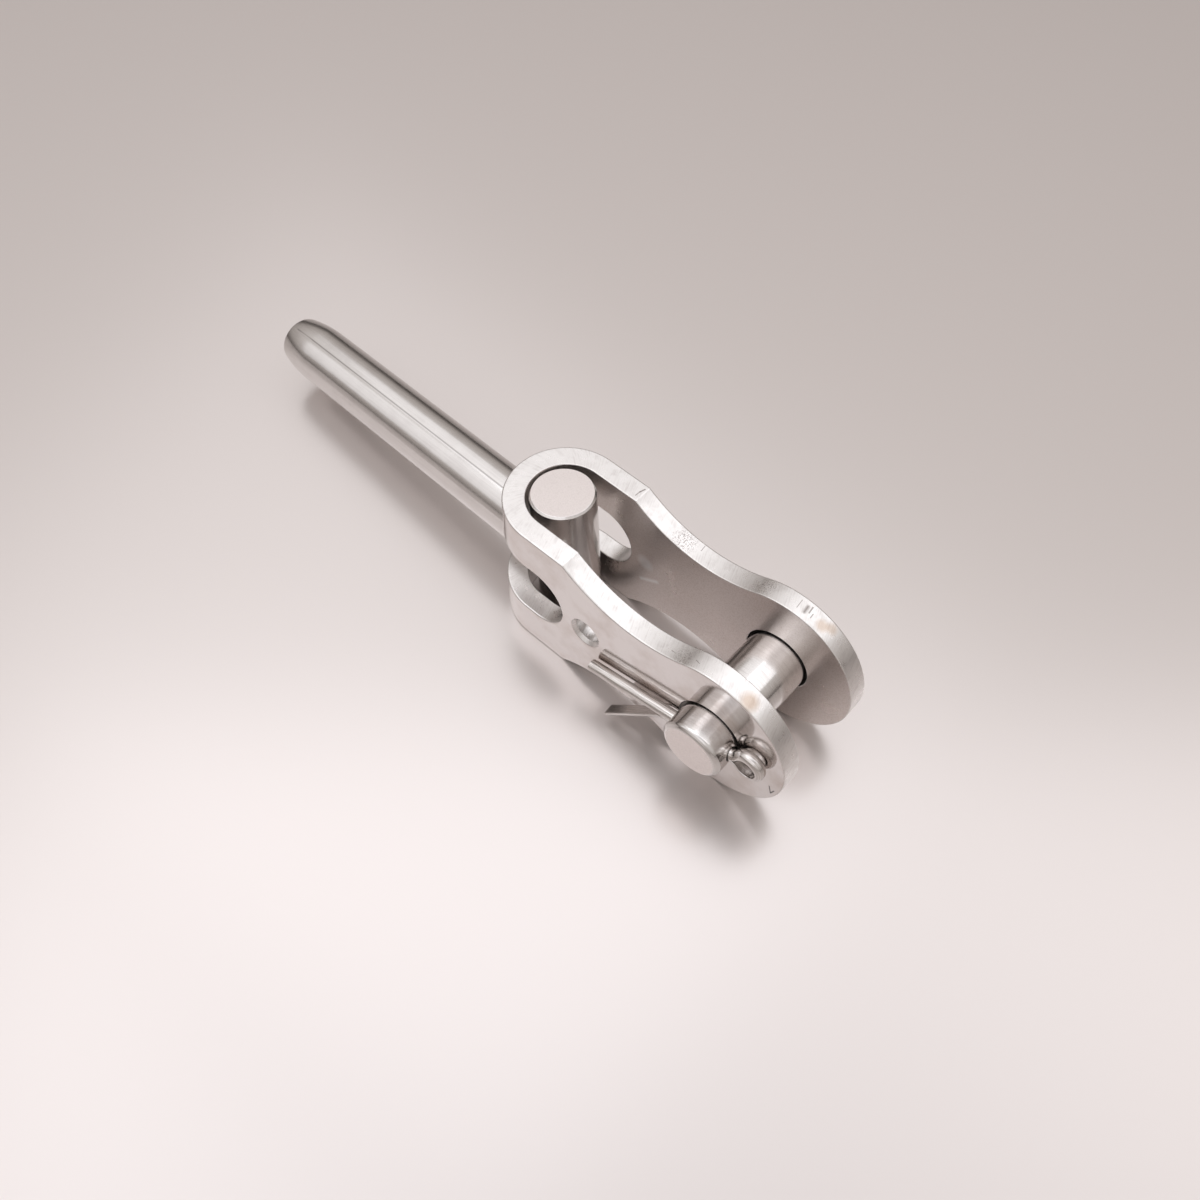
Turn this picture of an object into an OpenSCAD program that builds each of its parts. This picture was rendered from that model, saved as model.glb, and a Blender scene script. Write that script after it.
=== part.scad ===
// Swage toggle terminal for wire rope: a U-folded strap with a clevis pin across its ears,
// and a T-shaped terminal whose cross bar swings in the fold.
// Origin: on the clevis pin's axis, midway between the ears. +X runs to the wire end,
// +Y to the cotter side, +Z along the fold. Millimetres.

/* [Strap] */
// Thickness of the strap
strap_t = 5.4; // [3:0.1:8]
// Height of the folded end
strap_w = 41; // [34:0.5:50]
// Clear width between the arms
jaw_gap = 19.6; // [18.5:0.1:24]
// Distance from the pin axis to the centre of the fold
reach = 57; // [52:0.5:80]
// Diameter of each round ear
ear_d = 41; // [34:0.5:46]
// Distance from the pin axis to the shoulder corner where the neck starts
shoulder_x = 44.6; // [38:0.1:48]
// Radius of the hollow neck
neck_r = 34; // [28:0.5:60]

/* [Slot and hole] */
// How far the slot reaches back from the centre of the fold along each arm
slot_back = 12.2; // [9:0.1:16]
// Gap above and below the shank in the slot
slot_gap = 0.6; // [0.4:0.05:1.5]
// Diameter of the small hole in the near arm
eyelet_d = 7; // [4:0.1:9]
// Distance from the pin axis to the small hole
eyelet_x = 37.4; // [30:0.1:38]
// Depth of the small hole's countersink
eyelet_sink = 0.9; // [0.3:0.1:1.5]

/* [Terminal] */
// Diameter of the cross bar
bar_d = 16; // [12:0.1:16.2]
// Length of the cross bar
bar_l = 39.5; // [34:0.1:40]
// Bevel on the ends of the cross bar
bar_bevel = 0.5; // [0.2:0.1:1.5]
// Diameter of the shank
shank_d = 16.2; // [12:0.1:18]
// Distance from the cross bar's axis to the free end of the shank
shank_l = 111; // [90:1:150]
// Length of the rounded taper at the free end
nose_l = 11; // [6:0.5:20]
// Diameter of the flat end face
nose_d = 13.6; // [10:0.1:15]
// Diameter of the bore for the wire rope
wire_bore_d = 8.4; // [6:0.1:9.6]
// Depth of the bore for the wire rope
wire_bore_l = 85; // [60:1:95]
// Bevel at the mouth of the wire bore
mouth_bevel = 0.6; // [0.2:0.1:1]
// Angle of the shank to one side as it lies
swing = -3.5; // [-20:0.5:20]
// Angle of the shank below the level as it lies
droop = 4.5; // [0:0.5:4.5]

/* [Clevis pin] */
// Diameter of the clevis pin
pin_d = 15.8; // [12:0.1:18]
// Gap round the pin in the ears
pin_gap = 0.6; // [0.2:0.05:1]
// How far the plain end stands out of the near ear
pin_tail = 7.2; // [6:0.1:12]
// Bevel on the plain end
pin_bevel = 0.9; // [0.3:0.1:2]
// Diameter of the pin's flat head
head_d = 21; // [18:0.5:28]
// Thickness of the pin's flat head
head_t = 3.2; // [2:0.1:5]
// Bevel on the rim of the head
head_bevel = 0.6; // [0.2:0.1:1.2]
// Angle that the pin and its cotter are turned by as they lie
pin_turn = 13; // [-30:1:30]

/* [Cotter pin] */
// Diameter of both legs together
cotter_d = 3.2; // [2:0.1:4]
// Gap round the cotter in the pin's cross hole
cotter_gap = 0.3; // [0.1:0.05:0.6]
// Distance from the pin axis to the tip of the straight leg
long_leg = 34; // [20:0.5:45]
// Distance from the pin axis to the start of the bend
bend_x = 10.6; // [10:0.1:16]
// Angle that the leg is bent down by
bend_angle = 31; // [10:1:80]
// Radius of that bend at the flat of the wire
bend_r = 4; // [2.4:0.1:8]
// Angle that the bent leg is spread away from the ear by
splay = 8; // [2:1:20]
// Radius of that spread at the middle of the wire
splay_r = 12; // [6:0.5:20]
// Length of the bent leg from that spread to its tip
bent_l = 17; // [8:0.5:30]
// Inner diameter of the eye
eye_d = 5.2; // [4.2:0.1:8]
// Radius at the throat of the eye
throat_r = 2.4; // [2.2:0.1:4]

/* [Clearances] */
// End play of the pin's head and of the cotter against the ears
end_play = 0.35; // [0.2:0.05:1]
// Gap between the two flats of the cotter
flat_gap = 0.2; // [0.1:0.05:0.5]

/* [Hidden] */
$fn = 96;
eps = 0.5;
steel = [0.76, 0.75, 0.73];
bright_steel = [0.82, 0.81, 0.79];

half_w = strap_w / 2;
ear_r = ear_d / 2;
fold_in = jaw_gap / 2;
fold_out = fold_in + strap_t;
slot_r = shank_d / 2 + slot_gap;
slot_x = reach - slot_back + slot_r;

// The hollow of the neck runs into the ear's rim and through the shoulder corner. It bites a hair
// into the rim, so that the two curves cross cleanly.
rim_bite = 0.05;
shoulder_far = norm([shoulder_x, half_w]);
hollow_far = ear_r + neck_r - rim_bite;
hollow_cos = (shoulder_far * shoulder_far + hollow_far * hollow_far - neck_r * neck_r)
    / (2 * shoulder_far * hollow_far);
touch_angle = atan2(half_w, shoulder_x) + acos(hollow_cos);
touch = ear_r * [cos(touch_angle), sin(touch_angle)];
hollow = hollow_far * [cos(touch_angle), sin(touch_angle)];

// The drooping shank crosses the middle of the strap's wall at mid height.
bar_z = (fold_in + strap_t / 2) * tan(droop);
nose_start = shank_l - nose_l;
nose_drop = (shank_d - nose_d) / 2;
nose_r = (nose_l * nose_l + nose_drop * nose_drop) / (2 * nose_drop);

pin_r = pin_d / 2;
pin_hole_r = pin_r + pin_gap;
cotter_r = cotter_d / 2;
cotter_y = fold_out + end_play + cotter_r;
eye_r = eye_d / 2;
leg_z = flat_gap / 2;
throat_x = pin_r + end_play;
throat_span = eye_r + throat_r;
eye_x = throat_x + sqrt(throat_span * throat_span - pow(throat_r + leg_z, 2));
eye_angle = asin((throat_r + leg_z) / throat_span);
section_steps = 8;
wire_step = 12;

// Plan of the fold: two arms and a half ring.
module fold_plan(radius, back) {
    translate([reach, 0])
        circle(radius);
    translate([-back, -radius])
        square([reach + back, 2 * radius]);
}

// Both arms seen from the side, as one thick block: ears, hollow neck, shoulders and folded end.
module arm_block() {
    depth = 2 * fold_out + 2 * eps;
    end_x = reach + fold_out + eps;
    rotate([90, 0, 0]) {
        cylinder(h = depth, r = ear_r, center = true);
        linear_extrude(depth, center = true)
            difference() {
                polygon([
                    touch,
                    [shoulder_x, half_w],
                    [end_x, half_w],
                    [end_x, -half_w],
                    [shoulder_x, -half_w],
                    [touch[0], -touch[1]]
                ]);
                for (side = [-1, 1])
                    translate([hollow[0], side * hollow[1]])
                        circle(neck_r);
            }
    }
}

module slot_cut() {
    rotate([90, 0, 0])
        linear_extrude(2 * fold_out + 2 * eps, center = true) {
            translate([slot_x, 0])
                circle(slot_r);
            translate([slot_x, -slot_r])
                square([reach + fold_out - slot_x + eps, 2 * slot_r]);
        }
}

// Small countersunk hole through the near arm.
module eyelet_cut() {
    eyelet_r = eyelet_d / 2;
    translate([eyelet_x, 0, 0])
        rotate([-90, 0, 0]) {
            translate([0, 0, fold_in - eps])
                cylinder(h = strap_t + 2 * eps, r = eyelet_r);
            translate([0, 0, fold_out - eyelet_sink])
                cylinder(h = eyelet_sink + eps, r1 = eyelet_r, r2 = eyelet_r + eyelet_sink + eps);
        }
}

module toggle_strap() {
    color(steel)
        difference() {
            intersection() {
                linear_extrude(strap_w, center = true)
                    difference() {
                        fold_plan(fold_out, ear_r);
                        fold_plan(fold_in, ear_r + eps);
                    }
                arm_block();
            }
            slot_cut();
            eyelet_cut();
            rotate([90, 0, 0])
                cylinder(h = 2 * fold_out + 2 * eps, r = pin_hole_r, center = true);
        }
}

// Half section of the shank, with its rounded taper and the wire bore.
module shank_section() {
    shank_r = shank_d / 2;
    bore_r = wire_bore_d / 2;
    difference() {
        union() {
            square([shank_r, nose_start]);
            intersection() {
                translate([0, nose_start])
                    square([shank_r, nose_l]);
                translate([shank_r - nose_r, nose_start])
                    circle(nose_r);
            }
        }
        polygon([
            [-eps, shank_l - wire_bore_l - bore_r / 2],
            [0, shank_l - wire_bore_l - bore_r / 2],
            [bore_r, shank_l - wire_bore_l],
            [bore_r, shank_l - mouth_bevel],
            [bore_r + mouth_bevel + eps, shank_l + eps],
            [-eps, shank_l + eps]
        ]);
    }
}

// Half section of a round bar along the axis, bevelled at its two ends.
module bevelled_section(radius, low, high, low_bevel, high_bevel) {
    polygon([
        [0, low],
        [radius - low_bevel, low],
        [radius, low + low_bevel],
        [radius, high - high_bevel],
        [radius - high_bevel, high],
        [0, high]
    ]);
}

module swage_terminal() {
    color(steel)
        translate([reach, 0, bar_z])
            rotate([0, 0, swing])
                rotate([0, droop, 0]) {
                    rotate_extrude()
                        bevelled_section(bar_d / 2, -bar_l / 2, bar_l / 2, bar_bevel, bar_bevel);
                    rotate([0, 90, 0])
                        rotate_extrude()
                            shank_section();
                }
}

module clevis_pin() {
    head_y = fold_out + end_play;
    color(bright_steel)
        rotate([0, pin_turn, 0])
            difference() {
                rotate([-90, 0, 0])
                    rotate_extrude()
                        union() {
                            bevelled_section(pin_r, -head_y, fold_out + pin_tail, 0, pin_bevel);
                            bevelled_section(head_d / 2, -head_y - head_t, -head_y, head_bevel, 0);
                        }
                translate([0, cotter_y, 0])
                    rotate([0, 90, 0])
                        cylinder(h = pin_d + 2 * eps, r = cotter_r + cotter_gap, center = true);
            }
}

// One half-round ring of the cotter's wire: p lies on the middle of the flat, n points to the
// round side and b lies across the flat.
function wire_ring(p, n, b = [0, 1, 0]) = [
    for (k = [0 : section_steps])
        let (a = 180 * k / section_steps)
        p + cotter_r * (cos(a) * b + sin(a) * n)
];

// Rings along an arc in the plane of the legs. The round side is outside for side 1, inside for -1.
function arc_rings(center, radius, from, to, side) =
    let (steps = ceil(abs(to - from) / wire_step))
    [
        for (i = [1 : steps])
            let (t = from + (to - from) * i / steps)
            let (out = [cos(t), 0, sin(t)])
            wire_ring(center + radius * out, side * out)
    ];

// Rings of the bent leg past its bend: a turn away from the ear, then straight to the tip.
function spread_rings() =
    let (along = [cos(bend_angle), 0, -sin(bend_angle)])
    let (n = -[sin(bend_angle), 0, cos(bend_angle)])
    let (start = [bend_x, 0, -leg_z - bend_r] - bend_r * n)
    let (steps = ceil(splay / wire_step) + 1)
    let (side = [0, 1, 0])
    [
        for (i = [1 : steps + 1])
            let (s = splay * min(i, steps) / steps)
            let (b = cos(s) * side - sin(s) * along)
            let (turn = splay_r * (sin(s) * along + (1 - cos(s)) * side))
            let (run = i > steps ? bent_l * (cos(s) * along + sin(s) * side) : [0, 0, 0])
            wire_ring(start + turn + run, n, b)
    ];

wire_rings = concat(
    [wire_ring([long_leg, 0, leg_z], [0, 0, 1])],
    [wire_ring([-throat_x, 0, leg_z], [0, 0, 1])],
    arc_rings([-throat_x, 0, leg_z + throat_r], throat_r, 270, 180 + eye_angle, -1),
    arc_rings([-eye_x, 0, 0], eye_r, eye_angle, 360 - eye_angle, 1),
    arc_rings([-throat_x, 0, -leg_z - throat_r], throat_r, 180 - eye_angle, 90, -1),
    [wire_ring([bend_x, 0, -leg_z], [0, 0, -1])],
    arc_rings([bend_x, 0, -leg_z - bend_r], bend_r, 90, 90 - bend_angle, -1),
    spread_rings()
);

// Skin over a row of rings, with a flat cap at each end.
module ring_skin(rings) {
    m = len(rings[0]);
    last = len(rings) - 1;
    sides = [
        for (i = [0 : last - 1])
            for (j = [0 : m - 1])
                [i * m + j, i * m + (j + 1) % m, (i + 1) * m + (j + 1) % m, (i + 1) * m + j]
    ];
    near_cap = [for (j = [m - 1 : -1 : 0]) j];
    far_cap = [for (j = [0 : m - 1]) last * m + j];
    polyhedron(points = [for (ring = rings) each ring], faces = concat(sides, [near_cap, far_cap]));
}

module cotter_pin() {
    color(bright_steel)
        rotate([0, pin_turn, 0])
            translate([0, cotter_y, 0])
                ring_skin(wire_rings);
}

toggle_strap();
swage_terminal();
clevis_pin();
cotter_pin();
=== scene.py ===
"""Swage toggle terminal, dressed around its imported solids.

The pieces are a folded strap, a T-shaped terminal, a clevis pin and a cotter. Sizes are in
millimetres in the part's own frame: the origin lies on the clevis pin's axis midway between the
ears, +X runs to the wire end, +Y to the cotter side and +Z along the fold.
"""

import logging
import math
from dataclasses import dataclass, field
from enum import Enum

import bpy
import numpy as np
from mathutils import Matrix, Vector
from mathutils.geometry import delaunay_2d_cdt


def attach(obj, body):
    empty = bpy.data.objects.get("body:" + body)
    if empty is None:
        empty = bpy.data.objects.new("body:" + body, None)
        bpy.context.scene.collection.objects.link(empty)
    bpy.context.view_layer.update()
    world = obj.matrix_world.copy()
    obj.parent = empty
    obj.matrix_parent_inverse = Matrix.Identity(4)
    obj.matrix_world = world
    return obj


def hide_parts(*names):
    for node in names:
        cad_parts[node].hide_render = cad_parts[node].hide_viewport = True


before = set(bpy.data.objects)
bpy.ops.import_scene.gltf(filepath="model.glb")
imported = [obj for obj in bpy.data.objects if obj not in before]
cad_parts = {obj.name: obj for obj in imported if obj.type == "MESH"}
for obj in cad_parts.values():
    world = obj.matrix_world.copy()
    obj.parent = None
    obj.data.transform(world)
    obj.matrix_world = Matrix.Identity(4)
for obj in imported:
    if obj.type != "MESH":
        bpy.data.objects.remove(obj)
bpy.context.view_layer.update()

MM = 0.001
LOG = logging.getLogger("toggle")
# Names under which meshes keep what their patterns follow.
EDGE_RUN = "edge_run"
WIRE_RUN = "wire_run"
WIRE_ROUND = "wire_round"
# Node types that are used again and again, and the numbers of a mix's colour sockets.
NOISE = "ShaderNodeTexNoise"
MAPPING = "ShaderNodeMapping"
RANGE = "ShaderNodeMapRange"
VECTOR = "ShaderNodeVectorMath"
MIX = "ShaderNodeMix"
MIX_FIRST, MIX_SECOND, MIX_RESULT = 6, 7, 2
# A point of a turned section that is nearer to the axis than this is a pole.
POLE = 1e-6
# Narrow bands beside a rounding, which keep the shading of the long faces true.
BAND = 0.06
# A face of a turned piece that lies this near to its end belongs to the flat end.
END_DEPTH = 0.01
# Values of a noise between which the roughness goes from its low to its high end.
NOISE_LOW, NOISE_HIGH = 0.25, 0.75
# Turn a row of position, height and normal over to the lower edge or to the far half of the strip.
FLIP_Z = np.array([1, -1, 1, -1])
FLIP_U = np.array([-1, 1, -1, 1])

Color = tuple[float, float, float, float]
Place = tuple[float, float, float]
Profile = list[tuple[float, float]]
Faces = list[tuple[int, ...]]
Piece = bpy.types.Object
Tree = bpy.types.NodeTree
Socket = bpy.types.NodeSocket


class StrapZone(Enum):
    """Surfaces of the strap that were finished in different ways, by material slot."""

    OUTER = 0
    INNER = 1
    CUT = 2


def linear(hex_code: str) -> Color:
    """Turn an sRGB hex colour into linear light.

    Args:
        hex_code: Six hex digits, with or without a leading hash.

    Returns:
        Red, green, blue and alpha in linear light.
    """
    digits = hex_code.lstrip("#")
    channels = [int(digits[i : i + 2], 16) / 255 for i in (0, 2, 4)]
    light = [c / 12.92 if c <= 0.04045 else ((c + 0.055) / 1.055) ** 2.4 for c in channels]
    return (light[0], light[1], light[2], 1.0)


def per_metre(size: float) -> float:
    """Scale of a pattern whose features have this size in millimetres."""
    return 1 / (size * MM)


def spun(angle: float, axis: str) -> Matrix:
    """Turn by an angle in degrees about the axis X, Y or Z."""
    return Matrix.Rotation(math.radians(angle), 4, axis)


def add_node(tree: Tree, kind: str, sockets: dict | None = None, **settings: object) -> bpy.types.Node:
    """Add one node to a tree.

    Args:
        tree: The tree that takes the node.
        kind: The node's type name.
        sockets: Input name or number to a constant, or to an output socket that is linked to it.
        **settings: Properties of the node itself.

    Returns:
        The new node.
    """
    node = tree.nodes.new(kind)
    for name, value in settings.items():
        setattr(node, name, value)
    for key, value in (sockets or {}).items():
        if isinstance(value, Socket):
            tree.links.new(value, node.inputs[key])
        else:
            node.inputs[key].default_value = value
    return node


def linked(name: str, data: bpy.types.ID) -> Piece:
    """Make an object and link it to the scene.

    Args:
        name: Name of the object.
        data: Its mesh, curve, light or camera.

    Returns:
        The object, at the origin.
    """
    made = bpy.data.objects.new(name, data)
    bpy.context.scene.collection.objects.link(made)
    return made


def mesh_object(name: str, points: np.ndarray, faces: Faces) -> Piece:
    """Make a smooth-shaded mesh object at the origin.

    Args:
        name: Name of the piece.
        points: One row of x, y, z in millimetres for each vertex.
        faces: Vertex numbers of each face, counter-clockwise from outside.

    Returns:
        The object, linked to the scene.
    """
    mesh = bpy.data.meshes.new(name)
    mesh.from_pydata((np.asarray(points) * MM).tolist(), [], faces)
    mesh.shade_smooth()
    return linked(name, mesh)


def baked(piece: Piece) -> bpy.types.Mesh:
    """Plain mesh of an object with its modifiers applied."""
    return bpy.data.meshes.new_from_object(piece.evaluated_get(bpy.context.evaluated_depsgraph_get()))


def lathe(name: str, profile: Profile, placing: Matrix, steps: int = 160) -> Piece:
    """Turn a half section about the local Z axis.

    Args:
        name: Name of the piece.
        profile: Radius and height pairs from the bottom pole to the top pole, in millimetres.
        placing: Where the turned shape goes, in millimetres.
        steps: Faces round the axis.

    Returns:
        A closed solid of revolution.
    """
    rings: list[list[int]] = []
    points: list[Vector] = []
    for radius, height in profile:
        count = 1 if radius < POLE else steps
        rings.append([len(points) + k % count for k in range(steps)])
        for k in range(count):
            turn = math.tau * k / steps
            points.append(placing @ Vector((radius * math.cos(turn), radius * math.sin(turn), height)))
    faces: Faces = []
    for low, high in zip(rings, rings[1:]):
        for k in range(steps):
            n = (k + 1) % steps
            faces.append(tuple(dict.fromkeys((low[k], low[n], high[n], high[k]))))
    return mesh_object(name, np.array(points), faces)


def rounded(profile: Profile, radii: dict[int, float], steps: int = 5) -> Profile:
    """Round corners of a half section.

    Args:
        profile: Radius and height pairs.
        radii: Corner number to the rounding's radius, in millimetres.
        steps: Straight bits in each rounding.

    Returns:
        The section with each named corner replaced by an arc that has a narrow band on either side.
    """
    made: Profile = []
    for i, corner in enumerate(profile):
        if i not in radii:
            made.append(corner)
            continue
        here = Vector(corner)
        before = (Vector(profile[i - 1]) - here).normalized()
        after = (Vector(profile[i + 1]) - here).normalized()
        half = math.acos(max(-1.0, min(1.0, before.dot(after)))) / 2
        reach = radii[i] / math.tan(half)
        first, last = here + before * reach, here + after * reach
        center = here + (before + after).normalized() * (radii[i] / math.sin(half))
        made.append(tuple(first + before * BAND))
        for k in range(steps + 1):
            arm = (first - center).slerp(last - center, k / steps).normalized()
            made.append(tuple(center + radii[i] * arm))
        made.append(tuple(last + after * BAND))
    return made


def cut_or_join(piece: Piece, tool: Piece, operation: str) -> None:
    """Combine two solids exactly and drop the tool.

    Args:
        piece: The solid that is kept.
        tool: The solid that is added or taken away.
        operation: UNION or DIFFERENCE.
    """
    boolean = piece.modifiers.new("combine", "BOOLEAN")
    boolean.object = tool
    boolean.operation = operation
    boolean.solver = "EXACT"
    mesh = baked(piece)
    piece.modifiers.clear()
    piece.data = mesh
    bpy.data.objects.remove(tool)


def soft_edges(piece: Piece, angle: float = 32.0) -> None:
    """Shade smooth, with edges over the given angle in degrees left sharp."""
    piece.data.shade_smooth()
    piece.data.set_sharp_from_angle(angle=math.radians(angle))


@dataclass(frozen=True)
class Stroke:
    """A straight mark between two points, in millimetres: a scratch, a nick, a painted glint or a painted
    reflection line.

    Attributes:
        start: One end.
        stop: The other end.
        half_width: Distance from its line at which it has faded out.
        tint: Colour along its line, sRGB hex.
    """

    start: Place
    stop: Place
    half_width: float
    tint: str

    def mask(self, tree: Tree, place: Socket) -> Socket:
        """Pattern that is 1 along the stroke and 0 beside it.

        Args:
            tree: The material's tree.
            place: Object coordinates.

        Returns:
            The pattern's socket.
        """
        first = Vector(self.start) * MM
        run = Vector(self.stop) * MM - first
        way = run.normalized()
        offset = add_node(tree, VECTOR, {0: place, 1: first}, operation="SUBTRACT").outputs[0]
        along = add_node(tree, VECTOR, {0: offset, 1: way}, operation="DOT_PRODUCT").outputs["Value"]
        held = add_node(tree, "ShaderNodeClamp", {"Value": along, "Max": run.length}).outputs["Result"]
        nearest = add_node(tree, VECTOR, {0: way, "Scale": held}, operation="SCALE").outputs[0]
        gap = add_node(tree, VECTOR, {0: offset, 1: nearest}, operation="DISTANCE").outputs["Value"]
        limits = {"Value": gap, "From Max": self.half_width * MM, "To Min": 1.0, "To Max": 0.0}
        return add_node(tree, RANGE, limits).outputs["Result"]


@dataclass(frozen=True)
class Spot:
    """A round mark that fades out: a heat tint, a patch of pits or a painted glint.

    Attributes:
        center: Its middle, in millimetres.
        radius: Distance at which it has faded out.
        strength: Share of its colour at the middle.
        tint: Its colour, sRGB hex.
        pit_mm: Size of the pits that break it up, or 0 for an even mark.
        full_at: Share of the way to the middle at which it has its full strength.
        pit_range: Values of the noise at which a pit begins and is at its deepest.
    """

    center: Place
    radius: float
    strength: float
    tint: str
    pit_mm: float = 0.0
    full_at: float = 0.6
    pit_range: tuple[float, float] = (0.5, 0.62)

    def mask(self, tree: Tree, place: Socket) -> Socket:
        """Pattern that is strongest at the middle of the mark.

        Args:
            tree: The material's tree.
            place: Object coordinates.

        Returns:
            The pattern's socket.
        """
        shift = [-c / self.radius for c in self.center]
        ball = {"Vector": place, "Location": shift, "Scale": [per_metre(self.radius)] * 3}
        moved = add_node(tree, MAPPING, ball).outputs["Vector"]
        near = add_node(tree, "ShaderNodeTexGradient", {"Vector": moved}, gradient_type="SPHERICAL")
        limits = {"Value": near.outputs["Fac"], "From Max": self.full_at, "To Max": self.strength}
        faded = add_node(tree, RANGE, limits).outputs["Result"]
        if not self.pit_mm:
            return faded
        grains = {"Vector": place, "Scale": per_metre(self.pit_mm), "Detail": 1.0}
        pits = add_node(tree, NOISE, grains).outputs["Fac"]
        low, high = self.pit_range
        limits = {"Value": pits, "From Min": low, "From Max": high, "To Max": faded}
        return add_node(tree, RANGE, limits).outputs["Result"]


class Walk(Enum):
    """Coordinates that a pattern follows, with the metres in one of their units."""

    PLACE = ("the part's own frame", 1.0)
    EDGE = ("way along a rim and height above the inner face", MM)
    WIRE = ("way along the wire and round it", MM)


@dataclass(frozen=True)
class Grain:
    """One noise pattern that a finish follows.

    Attributes:
        size: Size of its features, in millimetres.
        detail: Octaves of the noise.
        lacing: Roughness of the noise.
        draw: How far it is drawn out along each axis.
        tilt: Angles that turn its axes, in radians.
        mapping: TEXTURE to turn and then draw out, POINT to squeeze and then turn, or nothing.
        walk: Coordinates that it follows.
    """

    size: float
    detail: float
    lacing: float = 0.5
    draw: Place = (1.0, 1.0, 1.0)
    tilt: Place = (0.0, 0.0, 0.0)
    mapping: str = ""
    walk: Walk = Walk.PLACE

    def build(self, tree: Tree, place: Socket) -> Socket:
        """Add the pattern to a material.

        Args:
            tree: The material's tree.
            place: Object coordinates.

        Returns:
            The pattern's socket.
        """
        way = place
        if self.walk is Walk.EDGE:
            way = add_node(tree, "ShaderNodeUVMap", uv_map=EDGE_RUN).outputs["UV"]
        elif self.walk is Walk.WIRE:
            along = add_node(tree, "ShaderNodeAttribute", attribute_name=WIRE_RUN).outputs["Fac"]
            around = add_node(tree, "ShaderNodeAttribute", attribute_name=WIRE_ROUND).outputs["Fac"]
            way = add_node(tree, "ShaderNodeCombineXYZ", {"X": along, "Y": around}).outputs["Vector"]
        if self.mapping:
            turn = {"Vector": way, "Scale": self.draw, "Rotation": self.tilt}
            way = add_node(tree, MAPPING, turn, vector_type=self.mapping).outputs["Vector"]
        scale = per_metre(self.size) * self.walk.value[1]
        noise = {"Vector": way, "Scale": scale, "Detail": self.detail, "Roughness": self.lacing}
        return add_node(tree, NOISE, noise).outputs["Fac"]


@dataclass(frozen=True)
class Relief:
    """One bump.

    Attributes:
        grains: Patterns whose sum is its height.
        strength: Share of it that shows.
        depth: Its depth, in millimetres.
    """

    grains: tuple[Grain, ...]
    strength: float
    depth: float


@dataclass(frozen=True)
class SteelFinish:
    """One surface of stainless steel, by how it was made.

    Attributes:
        name: Material name.
        tint: Colour of the clean steel, sRGB hex.
        deep: Colour where it is duller or soiled, sRGB hex.
        roughness: Mean roughness.
        spread: How far the roughness wanders from its mean.
        rough: Patterns that the roughness follows.
        tone: Patterns that the colour follows.
        tone_range: Values of the colour's pattern at which the steel is clean and deep.
        reliefs: Its bumps, the broad one first.
        marks_and_painted_light: Scratches and spots left by making and use, and painted glints and painted
            reflection lines.
    """

    name: str
    tint: str
    deep: str
    roughness: float
    spread: float
    rough: tuple[Grain, ...]
    tone: tuple[Grain, ...]
    tone_range: tuple[float, float]
    reliefs: tuple[Relief, ...]
    marks_and_painted_light: tuple[Stroke | Spot, ...] = ()

    @staticmethod
    def total(tree: Tree, place: Socket, grains: tuple[Grain, ...]) -> Socket:
        """Add up patterns.

        Args:
            tree: The material's tree.
            place: Object coordinates.
            grains: One or more patterns.

        Returns:
            The socket of their sum.
        """
        made = grains[0].build(tree, place)
        for grain in grains[1:]:
            terms = {0: made, 1: grain.build(tree, place)}
            made = add_node(tree, "ShaderNodeMath", terms, operation="ADD").outputs["Value"]
        return made

    def color(self, tree: Tree, place: Socket) -> Socket:
        """Let the colour go from clean to deep, and lay the scratches, spots and painted light over it.

        Args:
            tree: The material's tree.
            place: Object coordinates.

        Returns:
            The colour's socket.
        """
        low, high = self.tone_range
        limits = {"Value": self.total(tree, place, self.tone), "From Min": low, "From Max": high}
        share = add_node(tree, RANGE, limits).outputs["Result"]
        layers = {0: share, MIX_FIRST: linear(self.tint), MIX_SECOND: linear(self.deep)}
        color = add_node(tree, MIX, layers, data_type="RGBA").outputs[MIX_RESULT]
        for mark in self.marks_and_painted_light:
            layers = {0: mark.mask(tree, place), MIX_FIRST: color, MIX_SECOND: linear(mark.tint)}
            color = add_node(tree, MIX, layers, data_type="RGBA").outputs[MIX_RESULT]
        return color

    def build(self) -> bpy.types.Material:
        """Make the material.

        Returns:
            A metal whose roughness, colour and bump follow the patterns.
        """
        material = bpy.data.materials.new(self.name)
        material.use_nodes = True
        tree = material.node_tree
        tree.nodes.clear()
        place = add_node(tree, "ShaderNodeTexCoord").outputs["Object"]
        limits = {"Value": self.total(tree, place, self.rough), "From Min": NOISE_LOW, "From Max": NOISE_HIGH}
        limits |= {"To Min": self.roughness - self.spread, "To Max": self.roughness + self.spread}
        rough = add_node(tree, RANGE, limits).outputs["Result"]
        sockets = {"Metallic": 1.0, "Roughness": rough, "Base Color": self.color(tree, place)}
        for relief in self.reliefs:
            bump = {"Height": self.total(tree, place, relief.grains)}
            bump |= {"Strength": relief.strength, "Distance": relief.depth * MM}
            if "Normal" in sockets:
                bump["Normal"] = sockets["Normal"]
            sockets["Normal"] = add_node(tree, "ShaderNodeBump", bump).outputs["Normal"]
        shader = add_node(tree, "ShaderNodeBsdfPrincipled", sockets)
        add_node(tree, "ShaderNodeOutputMaterial", {"Surface": shader.outputs["BSDF"]})
        return material


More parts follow.
